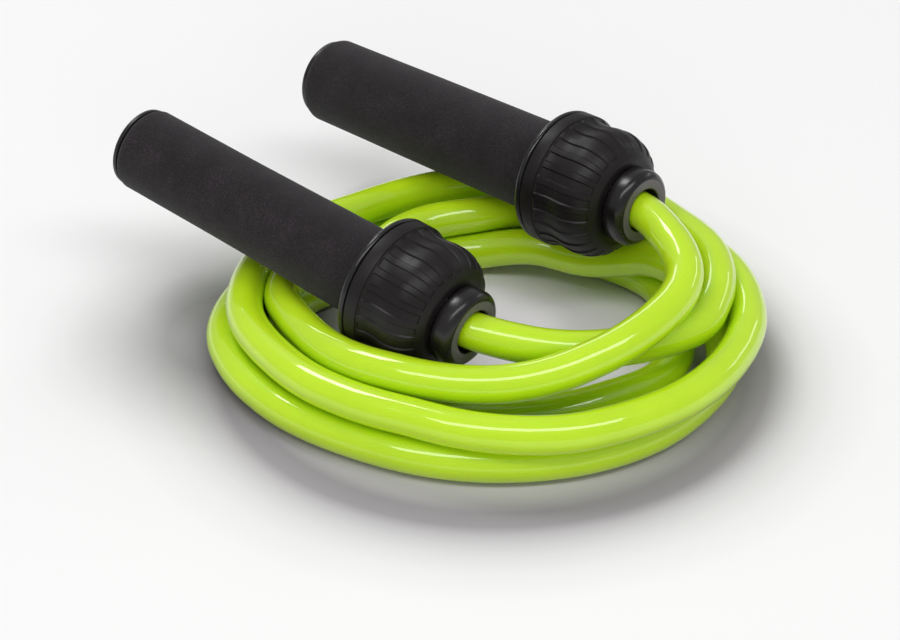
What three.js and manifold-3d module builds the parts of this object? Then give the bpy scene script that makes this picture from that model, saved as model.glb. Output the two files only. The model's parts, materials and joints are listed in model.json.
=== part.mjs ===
// Weighted jump rope, loosely coiled, with two bearing handles.
// Units are millimetres, +Z is up and the floor is z = 0. +X is the way the handles point, from
// their free ends towards their noses, and +Y runs from the left handle to the right one. The
// origin is on the floor, on the coil's flat underside, below the middle of the two handles.
//
// Each handle is modelled along its own axis: x = 0 is the nose face, where the rope comes out,
// and the handle runs back from there to negative x. A profile point is [x along the axis, radius].

import * as THREE from 'three';
import { mergeVertices } from 'three/addons/utils/BufferGeometryUtils.js';
import Module from 'manifold-3d';

const wasm = await Module();
wasm.setup();

// ---- Driving dimensions -------------------------------------------------------------------

const ROPE_RADIUS = 6.25;
const GAP = 0.3; // between touching pieces
const RUNNING_GAP = 0.35; // between pieces that turn past each other

// Handle stations, measured back from the nose face.
const COLLAR_BACK = -7.4;
const HOUSING_FRONT = -8.1;
const PANEL_FRONT = -9.9; // raised panels of the housing end here
const PANEL_BACK = -29.8; // and begin here, in front of the smooth rim band
const HOUSING_BACK = -35.0;
const COVER_BACK = -37.6;
const FOAM_BACK = -145.8;
const HANDLE_BACK = -148.2;

// Handle radii.
const COLLAR_RADIUS = 13.2;
const BORE_RADIUS = 7.4; // the rope runs through this with a small clearance
const STEM_RADIUS = 9.5; // spindle that carries the bearing
const RIM_RADIUS = 23.1;
const FOAM_RADIUS = 15.0;
const TUBE_RADIUS = 12.0;
const TUBE_BORE = 9.6;
const END_CAP_RADIUS = 13.9;

// Ball bearing.
const BEARING_FRONT = -14.0;
const BEARING_WIDTH = 7.0;
const BEARING_BORE = STEM_RADIUS + GAP;
const BEARING_OUTSIDE = 16.0;
const BALL_RADIUS = 1.75;
const BALL_PITCH = 13.0;
const BALL_COUNT = 7;
const SPACER_RADIUS = 11.4; // sleeve between the collar and the inner race

// Housing cover screws.
const SCREW_COUNT = 3;
const SCREW_CIRCLE = 20.0;
const SCREW_RADIUS = 1.1;
const SCREW_HEAD_RADIUS = 1.9;
const SCREW_HEAD_HEIGHT = 1.2;
const SCREW_LENGTH = 6.5;

// Where the noses lie, and how the handles point from there, in degrees.
const HANDLES = [
  { side: 'left', nose: [71.1, -40.4, 32.4], yaw: 1.5, noseDown: 5.8 },
  { side: 'right', nose: [76.1, 40.4, 43.4], yaw: -1.5, noseDown: -1.2 },
];

// Rope between each nose and the coil, chosen by hand. The stretch inside the handle is added
// from the handle's own axis.
const ROPE_INSIDE = 29.0; // how far the rope reaches back inside the handle
const LEFT_TAIL = [
  [77.4, -39.4, 31.5],
  [83.0, -35.4, 30.4],
  [88.4, -29.2, 28.7],
  [94.6, -20.6, 26.6],
  [101.0, -11.2, 24.8],
  [106.6, -1.6, 23.4],
  [110.2, 5.0, 22.4],
  [113.0, 11.0, 21.6],
];
const RIGHT_TAIL = [
  [82.6, 40.0, 43.5],
  [90.4, 36.6, 42.9],
  [98.3, 30.4, 41.6],
  [105.4, 22.6, 40.0],
  [110.6, 13.0, 38.2],
  [113.3, 2.0, 36.2],
  [113.4, -8.0, 34.5],
  [111.4, -18.0, 32.8],
  [107.6, -27.6, 31.0],
  [102.0, -37.0, 28.8],
  [94.8, -46.0, 27.0],
  [85.6, -54.0, 26.3],
  [73.6, -61.0, 26.0],
  [60.2, -66.7, 26.0],
  [47.2, -69.7, 25.6],
  [34.4, -69.4, 24.9],
  [19.6, -63.6, 22.9],
  [7.7, -57.3, 20.3],
  [-4.1, -50.2, 19.2],
  [-14.6, -42.8, 18.2],
];
const TAIL_SIDES = 10;
const TAIL_STEP = 16.0;

// Outer shape of the coiled rope: a ring with a low inner step, one layer of rope high, and a
// high outer step of two layers. A point is [radius, height].
const COIL_CENTRE = [48.0, -10.0];
const COIL_PROFILE = [
  [42.0, 0.0],
  [81.0, 0.0],
  [84.0, 3.0],
  [85.0, 8.0],
  [84.0, 20.0],
  [79.0, 24.0],
  [72.0, 24.0],
  [69.0, 21.5],
  [69.0, 11.0],
  [44.0, 11.0],
  [42.0, 9.0],
];
const COIL_CREST = 75.0; // radius of the middle of the high step
const COIL_SEGMENTS = 48;
const OUTER_SEGMENTS = 32;
const INNER_SEGMENTS = 20;

// ---- Materials ----------------------------------------------------------------------------

const material = (color, roughness, metalness = 0) =>
  new THREE.MeshStandardMaterial({ color, roughness, metalness });

const FOAM = material(0x2d282b, 0.95);
const BLACK_PLASTIC = material(0x1d1b1c, 0.45);
const GLOSS_PLASTIC = material(0x151314, 0.2);
const WHITE_NYLON = material(0xd9d6cc, 0.5);
const STEEL = material(0xb8babd, 0.3, 1.0);
const ROPE_PVC = material(0xb0e62e, 0.3);

// ---- Geometry helpers ---------------------------------------------------------------------

const radians = THREE.MathUtils.degToRad;

function turnedAboutX(points, segments) {
  // Closed profile of [x, radius] points, turned about the X axis.
  const profile = points.map(([x, radius]) => new THREE.Vector2(radius, x));
  profile.push(profile[0].clone());
  return new THREE.LatheGeometry(profile, segments).rotateZ(-Math.PI / 2);
}

function turnedAboutZ(points, segments) {
  // Closed profile of [radius, height] points, turned about the Z axis.
  const profile = points.map(([radius, height]) => new THREE.Vector2(radius, height));
  profile.push(profile[0].clone());
  return new THREE.LatheGeometry(profile, segments).rotateX(Math.PI / 2);
}

function toSolid(geometry) {
  const bare = geometry.clone();
  bare.deleteAttribute('normal');
  bare.deleteAttribute('uv');
  const merged = mergeVertices(bare, 1e-4);
  const triangles = trianglesOf(merged.index.array);
  const solid = makeManifold(merged, triangles);
  return solid.volume() > 0 ? solid : makeManifold(merged, triangles.map(([a, b, c]) => [a, c, b]));
}

function trianglesOf(index) {
  // Leaves out the triangles that shrink to a line where a profile touches the axis.
  const triangles = [];
  for (let i = 0; i < index.length; i += 3) {
    const [a, b, c] = [index[i], index[i + 1], index[i + 2]];
    if (a !== b && b !== c && c !== a) triangles.push([a, b, c]);
  }
  return triangles;
}

function makeManifold(geometry, triangles) {
  return new wasm.Manifold(new wasm.Mesh({
    numProp: 3,
    vertProperties: new Float32Array(geometry.attributes.position.array),
    triVerts: new Uint32Array(triangles.flat()),
  }));
}

function toGeometry(solid) {
  const mesh = solid.getMesh();
  const geometry = new THREE.BufferGeometry();
  geometry.setAttribute('position', new THREE.BufferAttribute(mesh.vertProperties, 3));
  geometry.setIndex(new THREE.BufferAttribute(mesh.triVerts, 1));
  geometry.computeVertexNormals();
  return geometry;
}

function named(name, geometry, finish) {
  const mesh = new THREE.Mesh(toGeometry(toSolid(geometry)), finish);
  mesh.name = name;
  return mesh;
}

function cutBy(geometry, cutters) {
  return toGeometry(cutters.reduce((solid, cutter) => solid.subtract(toSolid(cutter)), toSolid(geometry)));
}

function rodAlongX(x0, x1, radius, segments) {
  const rod = new THREE.CylinderGeometry(radius, radius, x1 - x0, segments);
  return rod.rotateZ(-Math.PI / 2).translate((x0 + x1) / 2, 0, 0);
}

function aroundAxis(count, make) {
  // One copy for each equal step about the handle's axis.
  return Array.from({ length: count }, (_, i) => make((i * 2 * Math.PI) / count, i));
}

// ---- Handle pieces ------------------------------------------------------------------------

function foamGrip() {
  const inside = TUBE_RADIUS + GAP;
  const front = COVER_BACK - GAP;
  return turnedAboutX([
    [front, inside],
    [front, FOAM_RADIUS],
    [FOAM_BACK + 1.0, FOAM_RADIUS],
    [FOAM_BACK, FOAM_RADIUS - 0.7],
    [FOAM_BACK, inside],
  ], OUTER_SEGMENTS);
}

function gripTube() {
  // Its front flange sits inside the housing, where the cover holds it.
  const front = -30.0;
  const flangeBack = -31.6;
  const flangeRadius = 15.4;
  return turnedAboutX([
    [front, TUBE_BORE],
    [front, flangeRadius],
    [flangeBack, flangeRadius],
    [flangeBack, TUBE_RADIUS],
    [FOAM_BACK + 1.0, TUBE_RADIUS],
    [FOAM_BACK + 1.0, TUBE_BORE],
  ], OUTER_SEGMENTS);
}

function endCap() {
  const plugRadius = TUBE_BORE - GAP;
  const plugBore = 7.0;
  const front = -134.0;
  const flangeFront = FOAM_BACK - GAP;
  const floor = HANDLE_BACK + 2.4;
  return turnedAboutX([
    [front, plugBore],
    [front, plugRadius],
    [flangeFront, plugRadius],
    [flangeFront, END_CAP_RADIUS],
    [HANDLE_BACK + 0.8, END_CAP_RADIUS],
    [HANDLE_BACK, END_CAP_RADIUS - 0.8],
    [HANDLE_BACK, 0],
    [floor, 0],
    [floor, plugBore],
  ], OUTER_SEGMENTS);
}

function coverScrewAxis(angle) {
  return [Math.cos(angle) * SCREW_CIRCLE, Math.sin(angle) * SCREW_CIRCLE];
}

function rearCover() {
  const spigotRadius = 17.0;
  const spigotFront = -32.0;
  const plateFront = HOUSING_BACK - GAP;
  const plate = turnedAboutX([
    [spigotFront, TUBE_RADIUS + GAP],
    [spigotFront, spigotRadius],
    [plateFront, spigotRadius],
    [plateFront, RIM_RADIUS],
    [COVER_BACK + 0.6, RIM_RADIUS],
    [COVER_BACK, RIM_RADIUS - 0.6],
    [COVER_BACK, TUBE_RADIUS + GAP],
  ], OUTER_SEGMENTS);
  const headSeat = COVER_BACK + SCREW_HEAD_HEIGHT + GAP;
  const holes = aroundAxis(SCREW_COUNT, (angle) => {
    const [y, z] = coverScrewAxis(angle);
    return rodAlongX(COVER_BACK - 1, plateFront + 1, SCREW_RADIUS + GAP, 10).translate(0, y, z);
  });
  const headSeats = aroundAxis(SCREW_COUNT, (angle) => {
    const [y, z] = coverScrewAxis(angle);
    return rodAlongX(COVER_BACK - 1, headSeat, SCREW_HEAD_RADIUS + GAP, 12).translate(0, y, z);
  });
  return cutBy(plate, [...holes, ...headSeats]);
}

function coverScrew(angle) {
  const [y, z] = coverScrewAxis(angle);
  const headFront = COVER_BACK + SCREW_HEAD_HEIGHT;
  return turnedAboutX([
    [COVER_BACK, 0],
    [COVER_BACK, SCREW_HEAD_RADIUS - 0.4],
    [COVER_BACK + 0.4, SCREW_HEAD_RADIUS],
    [headFront, SCREW_HEAD_RADIUS],
    [headFront, SCREW_RADIUS],
    [COVER_BACK + SCREW_LENGTH, SCREW_RADIUS],
    [COVER_BACK + SCREW_LENGTH, 0],
  ], 10).translate(0, y, z);
}

function domeHousing() {
  // Rim band, waist, bulge and front ring outside; bearing seat and cover recess inside.
  const lipRadius = SPACER_RADIUS + 0.6;
  const lipBack = BEARING_FRONT + GAP;
  const seatRadius = BEARING_OUTSIDE + GAP;
  const seatBack = -24.0;
  const shell = turnedAboutX([
    [HOUSING_FRONT, lipRadius],
    [HOUSING_FRONT, 14.4],
    [PANEL_FRONT, 17.6],
    [-12.6, 20.6],
    [-16.6, 22.3],
    [-20.6, 22.4],
    [-23.8, 21.0],
    [-26.4, 21.0],
    [PANEL_BACK, RIM_RADIUS],
    [HOUSING_BACK, RIM_RADIUS],
    [HOUSING_BACK, 17.0 + GAP],
    [seatBack, 17.0 + GAP],
    [seatBack, seatRadius],
    [lipBack, seatRadius],
    [lipBack, lipRadius],
  ], OUTER_SEGMENTS);
  const screwHoles = aroundAxis(SCREW_COUNT, (angle) => {
    const [y, z] = coverScrewAxis(angle);
    const holeFront = COVER_BACK + SCREW_LENGTH + GAP;
    return rodAlongX(HOUSING_BACK - 1, holeFront, SCREW_RADIUS + GAP, 10).translate(0, y, z);
  });
  return cutBy(shell, screwHoles);
}

// ---- Bearing and spindle ------------------------------------------------------------------

const bearingBack = BEARING_FRONT - BEARING_WIDTH;
const bearingMiddle = BEARING_FRONT - BEARING_WIDTH / 2;
const grooveHalf = 1.6;

function innerRace() {
  const shoulder = BALL_PITCH - 1.1;
  const groove = BALL_PITCH - BALL_RADIUS - 0.32; // deep enough for its sloping sides to clear the balls
  return turnedAboutX([
    [BEARING_FRONT, BEARING_BORE],
    [BEARING_FRONT, shoulder],
    [bearingMiddle + grooveHalf, shoulder],
    [bearingMiddle, groove],
    [bearingMiddle - grooveHalf, shoulder],
    [bearingBack, shoulder],
    [bearingBack, BEARING_BORE],
  ], INNER_SEGMENTS);
}

function outerRace() {
  const shoulder = BALL_PITCH + 1.3;
  const groove = BALL_PITCH + BALL_RADIUS + 0.52;
  return turnedAboutX([
    [BEARING_FRONT, shoulder],
    [BEARING_FRONT, BEARING_OUTSIDE],
    [bearingBack, BEARING_OUTSIDE],
    [bearingBack, shoulder],
    [bearingMiddle - grooveHalf, shoulder],
    [bearingMiddle, groove],
    [bearingMiddle + grooveHalf, shoulder],
  ], INNER_SEGMENTS);
}

function ballCage() {
  const halfWidth = 2.9;
  const halfThick = 0.55;
  const ring = turnedAboutX([
    [bearingMiddle + halfWidth, BALL_PITCH - halfThick],
    [bearingMiddle + halfWidth, BALL_PITCH + halfThick],
    [bearingMiddle - halfWidth, BALL_PITCH + halfThick],
    [bearingMiddle - halfWidth, BALL_PITCH - halfThick],
  ], BALL_COUNT * 4);
  const pockets = aroundAxis(BALL_COUNT, (angle) => {
    const pocket = new THREE.CylinderGeometry(BALL_RADIUS + GAP, BALL_RADIUS + GAP, 4, 8);
    return pocket.translate(0, BALL_PITCH, 0).rotateX(angle).translate(bearingMiddle, 0, 0);
  });
  return cutBy(ring, pockets);
}

function ball(angle) {
  const sphere = new THREE.SphereGeometry(BALL_RADIUS, 10, 6);
  return sphere.translate(0, BALL_PITCH, 0).rotateX(angle).translate(bearingMiddle, 0, 0);
}

function spindleCollar() {
  // The nose piece: a glossy collar in front, and the stem that runs back through the bearing.
  const stemBack = -24.4;
  return turnedAboutX([
    [stemBack, BORE_RADIUS],
    [stemBack, STEM_RADIUS],
    [COLLAR_BACK, STEM_RADIUS],
    [COLLAR_BACK, COLLAR_RADIUS],
    [-2.0, COLLAR_RADIUS],
    [-0.8, COLLAR_RADIUS - 0.4],
    [0, COLLAR_RADIUS - 1.4],
    [0, BORE_RADIUS + 0.5],
    [-0.5, BORE_RADIUS],
  ], OUTER_SEGMENTS);
}

function spacerSleeve() {
  const front = COLLAR_BACK - GAP;
  const back = BEARING_FRONT + GAP;
  return turnedAboutX([
    [front, BEARING_BORE],
    [front, SPACER_RADIUS],
    [back, SPACER_RADIUS],
    [back, BEARING_BORE],
  ], INNER_SEGMENTS);
}

function retainingRing() {
  const front = bearingBack - GAP;
  const back = front - 1.2;
  const ring = turnedAboutX([
    [front, BEARING_BORE],
    [front, 11.6],
    [back, 11.6],
    [back, BEARING_BORE],
  ], INNER_SEGMENTS);
  const opening = new THREE.BoxGeometry(4, 5, 3).translate((front + back) / 2, 11, 0);
  return cutBy(ring, [opening]);
}

function ropeFerrule() {
  // Crimped on the rope's end, behind the stem, so that the rope cannot pull through.
  const front = -24.7;
  const back = -29.6;
  const outside = 9.1;
  const inside = ROPE_RADIUS + GAP;
  return turnedAboutX([
    [front, inside],
    [front, outside],
    [back + 1.0, outside],
    [back, outside - 1.0],
    [back, inside],
  ], INNER_SEGMENTS);
}

// ---- Rope ---------------------------------------------------------------------------------

function handleAxis({ yaw, noseDown }) {
  const flat = Math.cos(radians(noseDown));
  return new THREE.Vector3(
    flat * Math.cos(radians(yaw)),
    flat * Math.sin(radians(yaw)),
    -Math.sin(radians(noseDown)),
  );
}

function tailPath(handle, points) {
  const nose = new THREE.Vector3(...handle.nose);
  const axis = handleAxis(handle);
  const inside = [-ROPE_INSIDE, -ROPE_INSIDE / 2, 0].map((x) => nose.clone().addScaledVector(axis, x));
  const outside = points.map((point) => new THREE.Vector3(...point));
  return new THREE.CatmullRomCurve3([...inside, ...outside], false, 'centripetal');
}

function ropeTail(handle, points, coil) {
  const path = tailPath(handle, points);
  const section = new THREE.Shape();
  for (let i = 0; i < TAIL_SIDES; i += 1) {
    const angle = (i * 2 * Math.PI) / TAIL_SIDES;
    const x = ROPE_RADIUS * Math.cos(angle);
    const y = ROPE_RADIUS * Math.sin(angle);
    if (i === 0) section.moveTo(x, y);
    else section.lineTo(x, y);
  }
  section.closePath();
  const steps = Math.ceil(path.getLength() / TAIL_STEP) * 2;
  const tube = new THREE.ExtrudeGeometry(section, { steps, extrudePath: path, bevelEnabled: false });
  return cutBy(tube, [coil]);
}

function coilRing(grow = 0) {
  // The ring, or with grow a slightly larger one that trims the tails where they run into it.
  const [cx, cy] = COIL_CENTRE;
  const profile = COIL_PROFILE.map(([radius, height]) => [
    radius + (radius > COIL_CREST ? grow : -grow),
    height + (height > 0 ? grow : -grow),
  ]);
  return turnedAboutZ(profile, COIL_SEGMENTS).translate(cx, cy, 0);
}

// ---- Assembly -----------------------------------------------------------------------------

function buildHandle(handle) {
  const { side, nose, yaw, noseDown } = handle;
  const group = new THREE.Group();
  group.position.set(...nose);
  group.rotation.set(0, radians(noseDown), radians(yaw), 'ZYX');
  group.add(
    named(`${side}_foam_grip`, foamGrip(), FOAM),
    named(`${side}_grip_tube`, gripTube(), BLACK_PLASTIC),
    named(`${side}_end_cap`, endCap(), BLACK_PLASTIC),
    named(`${side}_rear_cover`, rearCover(), GLOSS_PLASTIC),
    named(`${side}_dome_housing`, domeHousing(), BLACK_PLASTIC),
    named(`${side}_outer_race`, outerRace(), STEEL),
    named(`${side}_inner_race`, innerRace(), STEEL),
    named(`${side}_ball_cage`, ballCage(), WHITE_NYLON),
    named(`${side}_spindle_collar`, spindleCollar(), GLOSS_PLASTIC),
    named(`${side}_spacer_sleeve`, spacerSleeve(), STEEL),
    named(`${side}_retaining_ring`, retainingRing(), STEEL),
    named(`${side}_rope_ferrule`, ropeFerrule(), STEEL),
    ...aroundAxis(BALL_COUNT, (angle, i) => named(`${side}_ball_${i + 1}`, ball(angle), STEEL)),
    ...aroundAxis(SCREW_COUNT, (angle, i) => named(`${side}_cover_screw_${i + 1}`, coverScrew(angle), STEEL)),
  );
  return group;
}

const [leftHandle, rightHandle] = HANDLES;
const trimmingCoil = coilRing(GAP);

const jumpRope = new THREE.Group();
jumpRope.add(...HANDLES.map(buildHandle));
jumpRope.add(named('rope_coil', coilRing(), ROPE_PVC));
jumpRope.add(named('rope_left_tail', ropeTail(leftHandle, LEFT_TAIL, trimmingCoil), ROPE_PVC));
jumpRope.add(named('rope_right_tail', ropeTail(rightHandle, RIGHT_TAIL, trimmingCoil), ROPE_PVC));

export default jumpRope;
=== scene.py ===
"""Looks of a weighted jump rope: a thick lime-green PVC rope in a loose coil, and two black
handles with foam grips and ribbed bearing housings lying on it.

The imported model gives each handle's place and axis. A handle's own frame has its origin in the
middle of the nose face, X out of the nose and Z upwards. Handle profiles are (distance behind
the nose face, radius) in millimetres, and so are the other sizes below.
"""

import json
import math

import bpy
from mathutils import Matrix, Vector


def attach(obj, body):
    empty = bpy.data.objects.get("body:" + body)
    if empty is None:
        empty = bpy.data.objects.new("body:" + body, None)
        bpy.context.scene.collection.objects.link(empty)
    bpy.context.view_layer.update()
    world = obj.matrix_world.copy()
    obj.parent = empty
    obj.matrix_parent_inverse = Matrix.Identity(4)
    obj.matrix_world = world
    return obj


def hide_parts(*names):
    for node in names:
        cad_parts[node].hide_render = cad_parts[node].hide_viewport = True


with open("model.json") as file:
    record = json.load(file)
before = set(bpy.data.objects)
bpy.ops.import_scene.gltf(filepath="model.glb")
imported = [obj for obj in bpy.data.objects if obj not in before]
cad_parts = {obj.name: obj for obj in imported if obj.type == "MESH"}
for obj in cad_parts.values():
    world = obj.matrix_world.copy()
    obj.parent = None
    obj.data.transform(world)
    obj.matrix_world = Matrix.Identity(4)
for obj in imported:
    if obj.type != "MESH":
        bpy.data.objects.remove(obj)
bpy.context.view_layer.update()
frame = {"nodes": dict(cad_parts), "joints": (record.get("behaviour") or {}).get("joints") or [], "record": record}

MM = 0.001
SIDES = ("left", "right")
SHARP_ANGLE = 32  # degrees between two faces from which their edge is sharp
AROUND = 96  # points round a revolved piece
ROD_AROUND = 24  # points round a screw or a screw hole


# ---- Sizes --------------------------------------------------------------------------------

ROPE_RADIUS = 6.25
ROPE_INSIDE = 29.0  # how far the rope reaches back inside each handle
ROPE_FREE = 7.0  # how far inside the nose the rope starts to bend

# The rope between each nose and the coil.
LEFT_TAIL = [
    (71.2, -39.6, 32.4), (77.2, -37.4, 31.7), (83.2, -34.2, 30.8), (88.9, -30.0, 29.6),
    (93.9, -24.6, 28.2), (98.5, -18.2, 26.8), (102.6, -11.2, 25.6), (106.2, -3.6, 24.5),
    (109.2, 4.4, 23.6), (111.9, 12.8, 23.1),
]
RIGHT_TAIL = [
    (76.1, 39.6, 43.4), (80.8, 38.2, 43.5), (86.2, 36.0, 43.2), (91.4, 33.6, 42.7),
    (96.6, 31.0, 41.9), (101.6, 27.6, 40.9), (106.2, 23.2, 39.6), (109.9, 17.0, 38.2),
    (112.0, 10.0, 37.0), (112.9, 2.0, 35.9), (112.8, -6.4, 34.7), (111.0, -17.0, 32.8),
    (107.4, -27.2, 30.8), (102.4, -37.2, 28.8), (95.2, -46.4, 27.0), (86.0, -54.6, 26.1),
    (74.0, -61.4, 25.6), (60.2, -66.8, 25.7), (47.2, -69.2, 25.0), (34.4, -68.2, 23.8),
    (19.6, -63.4, 22.0), (7.7, -57.8, 20.3), (-4.1, -50.2, 19.2),
]

# The coiled rope winds anticlockwise from the left tail to the right one. Each station is an
# angle in degrees from +X about the coil's middle, a radius and a height.
COIL_MIDDLE = (55.4, -11.8)
COIL_STEP = 7.5  # degrees between the points that a loop works out
COIL_STATIONS = [
    # first turn: up over the right side, round the back on top, down the left on top
    (31, 68, 23.4), (45, 73.5, 25.8), (60, 76.5, 27.5), (78, 76, 27.5), (98, 79.5, 27),
    (112, 83.2, 24.8), (126, 85.5, 20), (142, 85.5, 19), (155, 83.5, 18.8), (168, 82.5, 18.8),
    (188, 86, 18.8), (208, 84, 18.8), (222, 81.5, 18.8), (240, 75, 18.8), (255, 71, 18.8),
    (269, 67.5, 18.8), (286, 65, 18.8), (300, 66.5, 18.8), (317, 69.5, 18.8), (330, 72, 18.8),
    (345, 73.5, 18.6),
    # second turn: on top as far as the back, then down inside and across the middle
    (365, 77, 18.3), (385, 80.5, 18), (400, 83.5, 18), (424, 84.8, 17.8), (441, 83, 15),
    (455, 79.5, 14), (468, 75, 15.2), (476, 72.5, 17.8), (486, 68, 18.8), (497, 64.5, 18.8),
    (512, 63.5, 18.5), (525, 61, 17.5), (531, 59.4, 14.8), (538, 60.2, 11), (546, 65, 7.8),
    (556, 70.5, 6.25), (566, 71.5, 6.25), (580, 68.5, 6.25), (600, 60.5, 6.25),
    (630, 48.5, 6.25), (660, 42, 6.25), (682, 41.5, 6.25), (703, 44, 6.25), (722, 48.5, 6.25),
    (741, 57, 6.25),
    # third turn: on the floor all the way round
    (756, 60, 6.25), (767, 61.8, 6.25), (778, 63.5, 6.25), (789, 66.6, 6.25), (798, 68.2, 6.25),
    (808, 67.4, 6.25), (820, 66.4, 6.25), (833, 67, 6.25), (845, 70, 6.25), (865, 78, 6.25),
    (885, 86, 6.25), (908, 89.5, 6.25), (932, 90.5, 6.25), (946, 86.5, 6.25), (965, 78.5, 6.25),
    (989, 70, 6.25), (1010, 67, 6.25), (1035, 66.5, 6.25), (1055, 68, 6.25), (1075, 70.5, 6.25),
    # fourth turn: over the third at the back, down inside it, and up again on the left
    (1095, 73, 6.25), (1111, 76, 6.4), (1121, 76, 7.7), (1130, 74.5, 10.5), (1138, 72, 15),
    (1146, 69.1, 17.9), (1154, 65.6, 18.4), (1162, 61, 16.3), (1170, 57, 13.8), (1180, 55, 12.4),
    (1196, 55.5, 12.3), (1208, 57, 9.8), (1218, 59, 7.4), (1230, 62.5, 6.4), (1240, 67, 7),
    (1249, 71, 10), (1258, 72.7, 14.5), (1267, 73.5, 17.8), (1276, 73, 18.8), (1284, 72, 19),
]

CAMERA_PLACE = (549.1, -596.3, 507.0)
CAMERA_LOOK = (-0.5553, 0.6328, -0.5397)
CAMERA_LENS = 110.34
CAMERA_SENSOR = 36

SCREWS = 3
SCREW_CIRCLE = 20.0

# The foam sleeves aren't quite alike: (distance behind the nose, radius).
FOAM_RADII = {
    "left": [
        (38.8, 15.1), (60.0, 14.95), (80.0, 14.7), (100.0, 14.5), (122.0, 14.45), (144.4, 14.45),
    ],
    "right": [
        (38.8, 15.8), (60.0, 15.7), (80.0, 15.6), (100.0, 15.5), (122.0, 15.3), (144.4, 15.15),
    ],
}

RIBS = 24
RIB_WIDTH = 5.0  # degrees
RIB_WALL = 1.1  # degrees that a rib's side takes
RIB_DEPTH = 0.55
RIB_FRONT, RIB_BACK = 9.9, 29.6  # the ribs lie between these distances behind the nose
RIB_PHASE = {"left": -12.0, "right": -5.0}  # one rib's angle from straight up, towards +Y


# ---- Node helpers -------------------------------------------------------------------------

class Nodes:
    """A material's node tree, with one short call for each node."""

    def __init__(self, name):
        self.material = bpy.data.materials.new(name)
        self.material.use_nodes = True
        self.tree = self.material.node_tree
        self.shader = self.tree.nodes["Principled BSDF"]
        self.place = self.add("ShaderNodeTexCoord").outputs["Object"]

    def add(self, kind, inputs=None, **settings):
        node = self.tree.nodes.new(kind)
        for key, value in settings.items():
            setattr(node, key, value)
        for key, value in (inputs or {}).items():
            self.put(node.inputs[key], value)
        return node

    def put(self, socket, value):
        if isinstance(value, bpy.types.NodeSocket):
            self.tree.links.new(value, socket)
        else:
            socket.default_value = value

    def set(self, **inputs):
        """Sets the shader's inputs, named with underscores for spaces."""
        for key, value in inputs.items():
            self.put(self.shader.inputs[key.replace("_", " ")], value)

    def noise(self, scale, detail=3.0, roughness=0.5):
        return self.add("ShaderNodeTexNoise", {
            "Vector": self.place, "Scale": scale, "Detail": detail, "Roughness": roughness,
        }).outputs["Fac"]

    def calculate(self, operation, first, second):
        inputs = {0: first, 1: second}
        return self.add("ShaderNodeMath", inputs, operation=operation).outputs[0]

    def distance(self, point):
        """How far each place of the surface is from a point, in metres."""
        inputs = {0: self.place, 1: point}
        return self.add("ShaderNodeVectorMath", inputs, operation="DISTANCE").outputs["Value"]

    def ramp(self, value, *stops):
        """value run through (position, grey level or colour) stops."""
        node = self.add("ShaderNodeValToRGB", {"Fac": value})
        elements = node.color_ramp.elements
        while len(elements) < len(stops):
            elements.new(0.5)
        for element, (position, colour) in zip(elements, stops):
            element.position = position
            if isinstance(colour, (int, float)):
                colour = (colour, colour, colour)
            element.color = (*colour, 1.0)
        return node.outputs["Color"]

    def bump(self, height, distance):
        inputs = {"Height": height, "Distance": distance, "Strength": 1.0}
        return self.add("ShaderNodeBump", inputs).outputs["Normal"]


def srgb(red, green, blue):
    """A colour given in 0-255 display values, as the shader's linear values."""
    def linear(value):
        value /= 255
        return value / 12.92 if value <= 0.04045 else ((value + 0.055) / 1.055) ** 2.4
    return (linear(red), linear(green), linear(blue))


def darker(colour, share):
    return tuple(channel * share for channel in colour)


# ---- Materials ----------------------------------------------------------------------------

def rope_pvc():
    """Slightly translucent lime PVC under a clear gloss."""
    n = Nodes("rope_pvc")
    cloud = n.noise(45.0, 2.0)
    n.set(
        Base_Color=n.ramp(cloud, (0.3, srgb(184, 222, 20)), (0.7, srgb(190, 227, 26))),
        Roughness=n.ramp(n.noise(160.0), (0.3, 0.34), (0.7, 0.4)),
        Normal=n.bump(n.noise(400.0, 2.0), 0.000004),
        IOR=1.5,
        Specular_IOR_Level=0.2,
        Subsurface_Weight=0.5,
        Subsurface_Radius=(0.009, 0.006, 0.001),
        Subsurface_Scale=1.0,
        Coat_Weight=1.0,
        Coat_IOR=1.6,
        Coat_Roughness=0.06,
    )
    return n.material


def foam():
    """Closed-cell foam: matte black with a fine, speckled skin."""
    n = Nodes("foam")
    speckle = n.noise(2600.0, 4.0, 0.75)
    mixed = n.calculate("ADD", speckle, n.calculate("MULTIPLY", n.noise(120.0, 2.0), 0.14))
    n.set(
        Base_Color=n.ramp(
            mixed, (0.42, srgb(14, 12, 14)), (0.58, srgb(25, 21, 24)), (0.76, srgb(64, 56, 62))),
        Roughness=n.ramp(speckle, (0.3, 0.84), (0.7, 0.97)),
        Normal=n.bump(mixed, 0.00018),
        Specular_IOR_Level=0.28,
        Sheen_Weight=0.1,
        Sheen_Roughness=0.5,
    )
    return n.material


def moulded(name, colour, low, high, grain=0.00002, specular=0.5):
    """Moulded plastic: a fine grain, and gloss that varies between low and high roughness."""
    n = Nodes(name)
    worn = n.noise(110.0, 4.0, 0.6)
    n.set(
        Base_Color=n.ramp(worn, (0.35, darker(colour, 0.75)), (0.7, colour)),
        Roughness=n.ramp(worn, (0.3, low), (0.7, high)),
        Normal=n.bump(n.noise(1400.0, 2.0), grain),
        IOR=1.5,
        Specular_IOR_Level=specular,
    )
    return n.material


def steel(name, colour, low, high):
    """Turned steel with fine marks."""
    n = Nodes(name)
    marks = n.noise(1800.0, 2.0)
    n.set(
        Base_Color=n.ramp(marks, (0.3, darker(colour, 0.85)), (0.7, colour)),
        Roughness=n.ramp(marks, (0.3, low), (0.7, high)),
        Normal=n.bump(marks, 0.00001),
        Metallic=1.0,
    )
    return n.material


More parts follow.
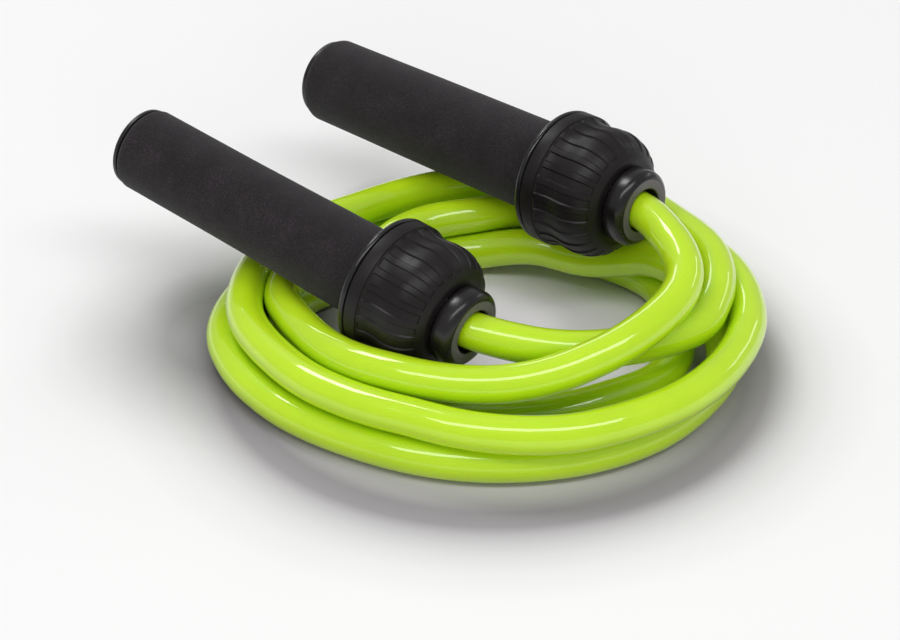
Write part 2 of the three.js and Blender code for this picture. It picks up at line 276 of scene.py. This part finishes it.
FINISH = {
    "rope_pvc": rope_pvc(),
    "foam": foam(),
    "housing_plastic": moulded("housing_plastic", srgb(25, 21, 23), 0.36, 0.5, specular=0.3),
    "cover_plastic": moulded("cover_plastic", srgb(28, 27, 28), 0.2, 0.28, 0.000006),
    "collar_plastic": moulded("collar_plastic", srgb(26, 23, 25), 0.22, 0.3, 0.000006),
    "nose_face": moulded("nose_face", srgb(98, 92, 98), 0.4, 0.55),
    "cap_plastic": moulded("cap_plastic", srgb(27, 25, 27), 0.3, 0.42),
    "tube_plastic": moulded("tube_plastic", srgb(42, 40, 42), 0.45, 0.6),
    "cage_nylon": moulded("cage_nylon", srgb(226, 222, 208), 0.4, 0.55),
    "bearing_steel": steel("bearing_steel", (0.72, 0.73, 0.74), 0.18, 0.3),
    "ferrule_steel": steel("ferrule_steel", (0.6, 0.61, 0.62), 0.3, 0.42),
    "screw_steel": steel("screw_steel", (0.09, 0.09, 0.095), 0.3, 0.45),
}


# ---- Mesh helpers -------------------------------------------------------------------------

def smooth_line(points, steps):
    """A Catmull-Rom curve through points, with steps of its points from each one to the next."""
    def between(a, b, c, d, t):
        square = (2 * a - 5 * b + 4 * c - d) * t * t
        cube = (3 * b - a - 3 * c + d) * t ** 3
        return 0.5 * (2 * b + (c - a) * t + square + cube)

    line = []
    for i in range(len(points) - 1):
        before = points[i - 1] if i > 0 else points[i]
        start, end = points[i], points[i + 1]
        after = points[i + 2] if i + 2 < len(points) else end
        for k in range(steps):
            line.append(tuple(
                between(*values, k / steps) for values in zip(before, start, end, after)))
    line.append(tuple(points[-1]))
    return line


def handle_frame(side):
    """The matrix that takes a handle's own frame, in millimetres, to the model's, in metres."""
    joint = next(j for j in frame["joints"] if j["name"] == f"{side}_handle_spin")
    x = Vector(joint["axis"]).normalized()
    y = Vector((0, 0, 1)).cross(x).normalized()
    z = x.cross(y)
    turn = Matrix((x, y, z)).transposed().to_4x4()
    return Matrix.Translation(joint["pos_m"]) @ turn @ Matrix.Scale(MM, 4)


def add_to_scene(name, data):
    piece = bpy.data.objects.new(name, data)
    bpy.context.scene.collection.objects.link(piece)
    return piece


def mesh_object(name, vertices, faces, materials, slots=None):
    """A smooth mesh with sharp edges. slots gives each face's place in materials."""
    mesh = bpy.data.meshes.new(name)
    mesh.from_pydata(vertices, [], faces)
    for item in materials:
        mesh.materials.append(item)
    for i, polygon in enumerate(mesh.polygons):
        polygon.use_smooth = True
        if slots:
            polygon.material_index = slots[i]
    mesh.set_sharp_from_angle(angle=math.radians(SHARP_ANGLE))
    return add_to_scene(name, mesh)


def revolved(name, side, profile, materials, radius_at=None, angles=None, material_at=None):
    """A closed profile turned about the handle's axis.

    radius_at(distance, radius, angle) may shape it, and material_at(distance, next distance)
    chooses the material between two points of the profile.
    """
    angles = angles or [i * 360 / AROUND for i in range(AROUND)]
    place = handle_frame(side)
    vertices = []
    for distance, radius in profile:
        for angle in angles:
            r = radius_at(distance, radius, angle) if radius_at else radius
            a = math.radians(angle)
            vertices.append(place @ Vector((-distance, r * math.sin(a), r * math.cos(a))))
    rows, around = len(profile), len(angles)
    faces, slots = [], []
    for i in range(rows):
        j = (i + 1) % rows
        for k in range(around):
            m = (k + 1) % around
            faces.append((i * around + k, i * around + m, j * around + m, j * around + k))
            slots.append(material_at(profile[i][0], profile[j][0]) if material_at else 0)
    return mesh_object(name, vertices, faces, materials, slots)


def cut(piece, cutter):
    """Takes the cutter's shape out of the piece."""
    modifier = piece.modifiers.new("cut", "BOOLEAN")
    modifier.operation = "DIFFERENCE"
    modifier.solver = "EXACT"
    modifier.object = cutter
    graph = bpy.context.evaluated_depsgraph_get()
    mesh = bpy.data.meshes.new_from_object(piece.evaluated_get(graph))
    mesh.set_sharp_from_angle(angle=math.radians(SHARP_ANGLE))
    piece.modifiers.clear()
    piece.data = mesh
    bpy.data.objects.remove(cutter)


def rod(name, side, profile, y, z, material):
    """An open profile turned about a line beside the handle's axis, with flat ends."""
    place = handle_frame(side)
    n = ROD_AROUND
    turns = [2 * math.pi * k / n for k in range(n)]
    vertices = [
        place @ Vector((-d, y + r * math.cos(turn), z + r * math.sin(turn)))
        for d, r in profile for turn in turns]
    last = (len(profile) - 1) * n
    faces = [
        (i + k, i + (k + 1) % n, i + n + (k + 1) % n, i + n + k)
        for i in range(0, last, n) for k in range(n)]
    faces += [tuple(range(n))[::-1], tuple(range(last, last + n))]
    return mesh_object(name, vertices, faces, [material])


def add_piece(piece, body, slot, *nodes):
    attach(piece, body)
    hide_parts(*nodes)
    return piece


# ---- Rope ---------------------------------------------------------------------------------

def coil_points():
    """The coil's centre line, worked out from its stations at even steps."""
    stations = smooth_line(COIL_STATIONS, 12)
    points = []
    angle = COIL_STATIONS[0][0]
    last = COIL_STATIONS[-1][0]
    k = 0
    while angle <= last:
        while stations[k + 1][0] < angle:
            k += 1
        (a0, r0, z0), (a1, r1, z1) = stations[k], stations[k + 1]
        t = (angle - a0) / (a1 - a0)
        radius, height, turn = r0 + (r1 - r0) * t, z0 + (z1 - z0) * t, math.radians(angle)
        x = COIL_MIDDLE[0] + radius * math.cos(turn)
        y = COIL_MIDDLE[1] + radius * math.sin(turn)
        points.append((x, y, height))
        angle += COIL_STEP
    return points


def inside_points(side):
    """The rope's end inside a handle, from its cut end to where it starts to bend."""
    place = handle_frame(side)
    distances = (ROPE_INSIDE, ROPE_INSIDE / 2, ROPE_FREE)
    return [tuple(place @ Vector((-x, 0, 0)) / MM) for x in distances]


def rope():
    route = (inside_points("left") + LEFT_TAIL + coil_points()
             + RIGHT_TAIL[::-1] + inside_points("right")[::-1])
    curve = bpy.data.curves.new("jump_rope", "CURVE")
    curve.dimensions = "3D"
    curve.resolution_u = 5
    curve.bevel_depth = ROPE_RADIUS * MM
    curve.bevel_resolution = 12
    curve.use_fill_caps = True
    spline = curve.splines.new("BEZIER")
    spline.bezier_points.add(len(route) - 1)
    for point, place in zip(spline.bezier_points, route):
        point.co = Vector(place) * MM
        point.handle_left_type = point.handle_right_type = "AUTO"
    curve.materials.append(FINISH["rope_pvc"])
    piece = add_to_scene("jump_rope", curve)
    add_piece(piece, "rope", "rope_pvc", "rope_coil", "rope_left_tail", "rope_right_tail")


# ---- Handle pieces ------------------------------------------------------------------------

def foam_grip(side):
    """The sleeve swells a little towards the housing that it is pushed against."""
    back, front, inside = 145.8, 37.9, 12.3
    line = smooth_line(FOAM_RADII[side], 8)
    widest, narrowest = line[0][1], line[-1][1]
    profile = [
        (back, inside), (back, narrowest - 1.5), (back - 0.1, narrowest - 0.9),
        (back - 0.5, narrowest - 0.35), (back - 1.2, narrowest - 0.05), *line[::-1],
        (front + 0.25, widest - 0.1), (front, widest - 0.6), (front, inside),
    ]
    return revolved(f"{side}_grip", side, profile, [FINISH["foam"]])


def end_cap(side):
    """A flat cap with a shallow round recess in its face, on a hollow plug."""
    back, recess = 148.2, 0.35
    profile = [
        (134.0, 7.0), (134.0, 9.3), (146.1, 9.3), (146.1, 13.3), (146.4, 13.8), (147.0, 13.9),
        (147.6, 13.8), (148.0, 13.4), (back, 12.8), (back, 10.2), (back - recess, 9.9),
        (back - recess, 0.02), (145.8, 0.02), (145.8, 7.0),
    ]
    return revolved(f"{side}_cap", side, profile, [FINISH["cap_plastic"]])


def rear_cover(side):
    """The disc behind the housing, with a seat and a hole for each screw."""
    material = FINISH["cover_plastic"]
    profile = [
        (32.0, 12.3), (32.0, 17.0), (35.3, 17.0), (35.3, 22.4), (35.5, 22.85), (35.8, 23.05),
        (36.3, 23.1), (36.7, 23.05), (37.1, 22.9), (37.4, 22.6), (37.55, 22.2), (37.6, 21.7),
        (37.6, 16.4), (37.35, 15.9), (37.35, 12.3),
    ]
    seat_and_hole = [(38.5, 2.2), (36.1, 2.2), (36.1, 1.4), (31.0, 1.4)]
    piece = revolved(f"{side}_cover", side, profile, [material])
    for y, z in screw_places():
        cut(piece, rod("seat", side, seat_and_hole, y, z, material))
    return piece


def screw_places():
    turns = [2 * math.pi * i / SCREWS for i in range(SCREWS)]
    return [(SCREW_CIRCLE * math.cos(turn), SCREW_CIRCLE * math.sin(turn)) for turn in turns]


def cover_screw(side, number, y, z):
    """A pan-head screw with a cross recess that narrows towards its floor."""
    material = FINISH["screw_steel"]
    profile = [
        (37.6, 1.1), (37.55, 1.45), (37.35, 1.75), (37.0, 1.9), (36.4, 1.9), (36.4, 1.1),
        (31.3, 1.1), (31.1, 0.9),
    ]
    piece = rod(f"{side}_screw_{number}", side, profile, y, z, material)
    place = handle_frame(side)
    arm, half_width = 1.15, 0.22
    mouth, ground = (38.0, 1.0), (36.8, 0.6)  # (distance behind the nose, share of full size)
    around = ((-1, -1), (1, -1), (1, 1), (-1, 1))
    faces = [(0, 1, 2, 3), (7, 6, 5, 4), (0, 4, 5, 1), (1, 5, 6, 2), (2, 6, 7, 3), (3, 7, 4, 0)]
    for along_y, along_z in ((arm, half_width), (half_width, arm)):
        corners = [
            place @ Vector((-d, y + u * along_y * share, z + v * along_z * share))
            for d, share in (mouth, ground) for u, v in around]
        cut(piece, mesh_object("recess", corners, faces, [material]))
    return piece


def rib_angles(side):
    """Angles round the housing, with close ones where a rib's sides rise."""
    pitch, half = 360 / RIBS, RIB_WIDTH / 2
    foot = half + RIB_WALL
    step = (pitch - 2 * foot) / 3
    offsets = [-foot, -half, -half / 3, half / 3, half, foot, foot + step, foot + 2 * step]
    return [RIB_PHASE[side] + i * pitch + offset for i in range(RIBS) for offset in offsets]


def housing(side):
    """The bell: a rim at the back, a ribbed waist and bulge, and a rounded front."""
    bulge = smooth_line([
        (29.4, 22.5), (27.4, 21.9), (25.2, 21.65), (22.8, 21.8), (20.6, 22.1), (18.4, 22.2),
        (16.2, 21.9), (14.0, 21.2), (12.0, 20.1), (10.4, 18.6)], 3)
    outside = [
        (35.0, 22.3), (34.85, 22.8), (34.5, 23.1), (30.6, 23.1), (30.2, 22.95), (30.05, 22.55),
        (29.75, 22.5), *bulge,
        (10.0, 17.95), (9.75, 17.62), (9.2, 16.9), (8.5, 15.7), (8.15, 15.0), (8.1, 14.4),
    ]
    inside = [(35.0, 17.3), (24.0, 17.3), (24.0, 16.3), (13.7, 16.3), (13.7, 12.0)]
    profile = [(8.1, 12.0)] + outside[::-1] + inside
    half, pitch = RIB_WIDTH / 2, 360 / RIBS
    rounding = 1e-6

    def radius_at(distance, radius, angle):
        # The bore's points between these distances move in as well, which is a known fault.
        if not RIB_FRONT < distance < RIB_BACK:
            return radius
        off_rib = abs((angle - RIB_PHASE[side] + pitch / 2) % pitch - pitch / 2)
        return radius if off_rib <= half + rounding else radius - RIB_DEPTH

    materials = [FINISH["housing_plastic"]]
    return revolved(f"{side}_housing", side, profile, materials, radius_at, rib_angles(side))


def swivel_collar(side):
    """The nose's collar. Its flat face, at distance 0, is greyer than the rest."""
    profile = [
        (24.4, 7.4), (24.4, 9.5), (7.4, 9.5), (7.4, 12.6), (7.2, 12.9), (6.6, 13.1), (2.6, 13.2),
        (2.1, 13.1), (1.6, 12.9), (1.15, 12.6), (0.7, 12.15), (0.3, 11.6), (0.08, 11.2),
        (0.0, 10.8), (0.0, 7.9), (0.15, 7.55), (0.5, 7.4),
    ]
    materials = [FINISH["collar_plastic"], FINISH["nose_face"]]
    return revolved(f"{side}_collar", side, profile, materials,
                    material_at=lambda here, there: int(here == there == 0.0))


def handle(side):
    body = f"{side}_handle"
    grip = add_piece(foam_grip(side), body, "foam", f"{side}_foam_grip")
    add_piece(end_cap(side), body, "cap_plastic", f"{side}_end_cap")
    add_piece(housing(side), body, "housing_plastic", f"{side}_dome_housing")
    add_piece(rear_cover(side), body, "cover_plastic", f"{side}_rear_cover")
    for number, (y, z) in enumerate(screw_places(), start=1):
        screw = cover_screw(side, number, y, z)
        add_piece(screw, body, "screw_steel", f"{side}_cover_screw_{number}")
    add_piece(swivel_collar(side), "rope", "collar_plastic", f"{side}_spindle_collar")


def finish_cad_nodes():
    """The CAD pieces that stay get the finish of their slot."""
    slots = {part["node"]: part["material_slot"] for part in frame["record"]["subparts"]}
    for name, node in frame["nodes"].items():
        node.data.materials.clear()
        node.data.materials.append(FINISH[slots[name]])


# ---- Surroundings -------------------------------------------------------------------------

FLOOR_HALF = 6.0  # metres
FLOOR_DROP = 0.0001  # metres that the floor lies below the rope
RING_REACH = 0.2  # metres from the coil's middle over which the ring's ramp runs
# Painted shadow round the coil: the floor's colour by distance from the coil's middle, darkest just outside the
# coil, a little darker inside it, and tinted slightly mauve against the rope's green bounce light.
RING_SHADE = [
    (0.3, (0.76, 0.73, 0.78)), (0.42, (0.3, 0.28, 0.31)), (0.455, (0.34, 0.32, 0.35)),
    (0.48, (0.53, 0.51, 0.54)), (0.5, (0.62, 0.61, 0.63)), (0.53, (0.725, 0.72, 0.725)),
    (0.57, (0.805, 0.8, 0.805)), (0.64, 0.86),
]
# Painted shadow under the left grip: the floor's colour darkens towards this middle.
GRIP_SHADOW_MIDDLE = (-0.02, -0.055, 0.0)  # metres: middle of the painted shadow on the floor under the left grip
GRIP_SHADOW_REACH = 0.1  # metres
GRIP_SHADOW_SHADE = [(0.25, 0.45), (0.4, 0.68), (0.5, 0.81), (0.6, 0.92), (0.7, 0.98), (0.8, 1.0)]


def floor():
    """Pale paper with painted shadow: its colour is darker close round the coil and under the left grip."""
    size = FLOOR_HALF
    corners = [(-size, -size, 0), (size, -size, 0), (size, size, 0), (-size, size, 0)]
    n = Nodes("floor")
    middle = (COIL_MIDDLE[0] * MM, COIL_MIDDLE[1] * MM, 0.0)
    # painted shadow round the coil, darkening the floor's colour
    ring = n.ramp(n.calculate("MULTIPLY", n.distance(middle), 1 / RING_REACH), *RING_SHADE)
    # painted shadow under the left grip, darkening the floor's colour near its middle
    grip_shadow = n.ramp(n.calculate("MULTIPLY", n.distance(GRIP_SHADOW_MIDDLE), 1 / GRIP_SHADOW_REACH), *GRIP_SHADOW_SHADE)
    both = n.add("ShaderNodeVectorMath", {0: ring, 1: grip_shadow}, operation="MULTIPLY")
    n.set(Base_Color=both.outputs["Vector"], Roughness=0.9, Specular_IOR_Level=0.0)
    piece = mesh_object("floor", corners, [(0, 1, 2, 3)], [n.material])
    piece.location.z = -FLOOR_DROP


LIGHT_TARGET = (0.02, 0.0, 0.03)
WORLD_STRENGTH = 0.38


def area_light(name, azimuth, elevation, distance, size, power, glossy=True):
    """A softbox facing the object from a compass direction. Glossy ones show in highlights.

    The angles are in degrees, distance and size in metres and power in watts.
    """
    a, e = math.radians(azimuth), math.radians(elevation)
    away = Vector((math.cos(e) * math.cos(a), math.cos(e) * math.sin(a), math.sin(e)))
    light = bpy.data.lights.new(name, "AREA")
    light.shape = "RECTANGLE"
    light.size, light.size_y = size
    light.energy = power
    piece = add_to_scene(name, light)
    piece.location = Vector(LIGHT_TARGET) + away * distance
    piece.rotation_euler = away.to_track_quat("Z", "Y").to_euler()
    piece.visible_glossy = glossy


def lights():
    area_light("key", -42, 63, 2.2, (3.0, 0.55), 25.5)
    area_light("side", 172, 58, 2.2, (0.6, 0.6), 10.5)
    area_light("front_fill", -47, 18, 2.4, (1.8, 0.8), 13.5, glossy=False)
    area_light("rim", 72, 20, 2.0, (0.9, 0.2), 1.4)
    area_light("back_left", 150, 30, 2.2, (0.9, 0.3), 3.0)
    for azimuth in (110, 190):
        area_light("low_fill", azimuth, 34, 2.2, (0.6, 0.6), 3.2, glossy=False)
    world = bpy.data.worlds.new("studio")
    world.use_nodes = True
    background = world.node_tree.nodes["Background"]
    background.inputs["Color"].default_value = (1, 1, 1, 1)
    background.inputs["Strength"].default_value = WORLD_STRENGTH
    bpy.context.scene.world = world


def camera():
    data = bpy.data.cameras.new("camera")
    data.sensor_width = CAMERA_SENSOR
    data.lens = CAMERA_LENS
    piece = add_to_scene("camera", data)
    piece.location = Vector(CAMERA_PLACE) * MM
    piece.rotation_euler = Vector(CAMERA_LOOK).to_track_quat("-Z", "Y").to_euler()
    bpy.context.scene.camera = piece
    bpy.context.scene.view_settings.view_transform = "Standard"


camera()
rope()
finish_cad_nodes()
for side in SIDES:
    handle(side)
floor()
lights()
